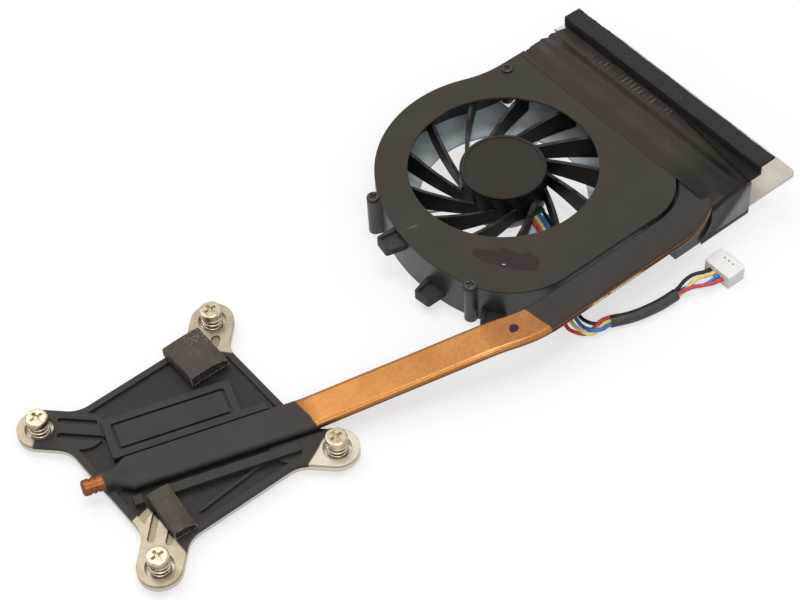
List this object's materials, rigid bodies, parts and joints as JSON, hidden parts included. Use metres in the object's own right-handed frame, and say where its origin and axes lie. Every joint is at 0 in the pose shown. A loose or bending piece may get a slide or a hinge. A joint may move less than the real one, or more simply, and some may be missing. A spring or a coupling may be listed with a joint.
{
  "type": "laptop cooling fan heatsink",
  "caption": "Laptop cooler: sprung screw-down processor plate, flattened copper heat pipe, blower fan with fin stack, foam seal, loose fan lead with plug.",
  "frame": {"origin": "centre of the processor contact face, midway between the four captive screws", "axes": "+X along the module towards the fan and its outlet, +Z away from the circuit board"},
  "size_m": [0.1756, 0.081, 0.0135],
  "materials": {
    "pipe": "satin",
    "copper_block": "polished",
    "plate": "satin black paint with bare edges",
    "cover": "satin",
    "bare_sheet": "satin",
    "housing": "satin",
    "impeller": "satin",
    "steel": "polished",
    "screw": "polished",
    "magnet": "matt",
    "bearing": "satin",
    "winding": "gloss",
    "board": "satin",
    "fins": "satin",
    "film": "satin",
    "foam": "matt",
    "rubber": "matt",
    "wire_red": "satin",
    "wire_yellow": "satin",
    "wire_blue": "satin",
    "wire_black": "satin",
    "sleeve": "satin",
    "plug": "satin"
  },
  "bodies": {
    "module": {"contact_block": "copper_block", "cpu_plate": "plate", "heat_pipe": "pipe", "fan_housing": "housing", "fan_cover": "cover", "base_plate": "bare_sheet", "cover_screws": "steel", "bearing_holder": "bearing", "bearing_sleeve": "bearing", "thrust_pad": "housing", "stator_core": "steel", "stator_coils": "winding", "motor_board": "board", "fin_stack": "fins", "sealing_film": "film", "foam_gasket": "foam", "foam_pad_far": "foam", "foam_pad_near": "foam", "wire_sleeve": "sleeve", "connector_housing": "plug", "connector_terminals": "steel", "wire_red": "wire_red", "wire_yellow": "wire_yellow", "wire_blue": "wire_blue", "wire_black": "wire_black", "rubber_mount_1": "rubber", "rubber_mount_2": "rubber", "rubber_mount_3": "rubber", "screw_spring_1": "steel", "screw_spring_2": "steel", "screw_spring_3": "steel", "screw_spring_4": "steel"},
    "rotor": {"impeller": "impeller", "rotor_yoke": "steel", "rotor_magnet": "magnet", "fan_shaft": "steel"},
    "carrier_1": {"screw_retainer_1": "steel"},
    "screw_1": {"captive_screw_1": "screw"},
    "carrier_2": {"screw_retainer_2": "steel"},
    "screw_2": {"captive_screw_2": "screw"},
    "carrier_3": {"screw_retainer_3": "steel"},
    "screw_3": {"captive_screw_3": "screw"},
    "carrier_4": {"screw_retainer_4": "steel"},
    "screw_4": {"captive_screw_4": "screw"}
  },
  "joints": [
    {"name": "fan_spin", "type": "hinge", "parent": "module", "child": "rotor", "pos_m": [0.0944, 0.0106, 0.005], "axis": [0, 0, 1], "continuous": true},
    {"name": "screw_press_1", "type": "slide", "parent": "module", "child": "carrier_1", "axis": [0, 0, 1], "range_m": [-0.0018, 0], "stiffness_N_per_m": 800, "springref_m": 0.0005, "deforming": ["screw_spring_1"]},
    {"name": "screw_turn_1", "type": "hinge", "parent": "carrier_1", "child": "screw_1", "pos_m": [0.022, 0.022, 0.003], "axis": [0, 0, 1], "continuous": true},
    {"name": "screw_press_2", "type": "slide", "parent": "module", "child": "carrier_2", "axis": [0, 0, 1], "range_m": [-0.0018, 0], "stiffness_N_per_m": 800, "springref_m": 0.0005, "deforming": ["screw_spring_2"]},
    {"name": "screw_turn_2", "type": "hinge", "parent": "carrier_2", "child": "screw_2", "pos_m": [-0.022, 0.022, 0.003], "axis": [0, 0, 1], "continuous": true},
    {"name": "screw_press_3", "type": "slide", "parent": "module", "child": "carrier_3", "axis": [0, 0, 1], "range_m": [-0.0018, 0], "stiffness_N_per_m": 800, "springref_m": 0.0005, "deforming": ["screw_spring_3"]},
    {"name": "screw_turn_3", "type": "hinge", "parent": "carrier_3", "child": "screw_3", "pos_m": [0.022, -0.022, 0.003], "axis": [0, 0, 1], "continuous": true},
    {"name": "screw_press_4", "type": "slide", "parent": "module", "child": "carrier_4", "axis": [0, 0, 1], "range_m": [-0.0018, 0], "stiffness_N_per_m": 800, "springref_m": 0.0005, "deforming": ["screw_spring_4"]},
    {"name": "screw_turn_4", "type": "hinge", "parent": "carrier_4", "child": "screw_4", "pos_m": [-0.022, -0.022, 0.003], "axis": [0, 0, 1], "continuous": true}
  ]
}
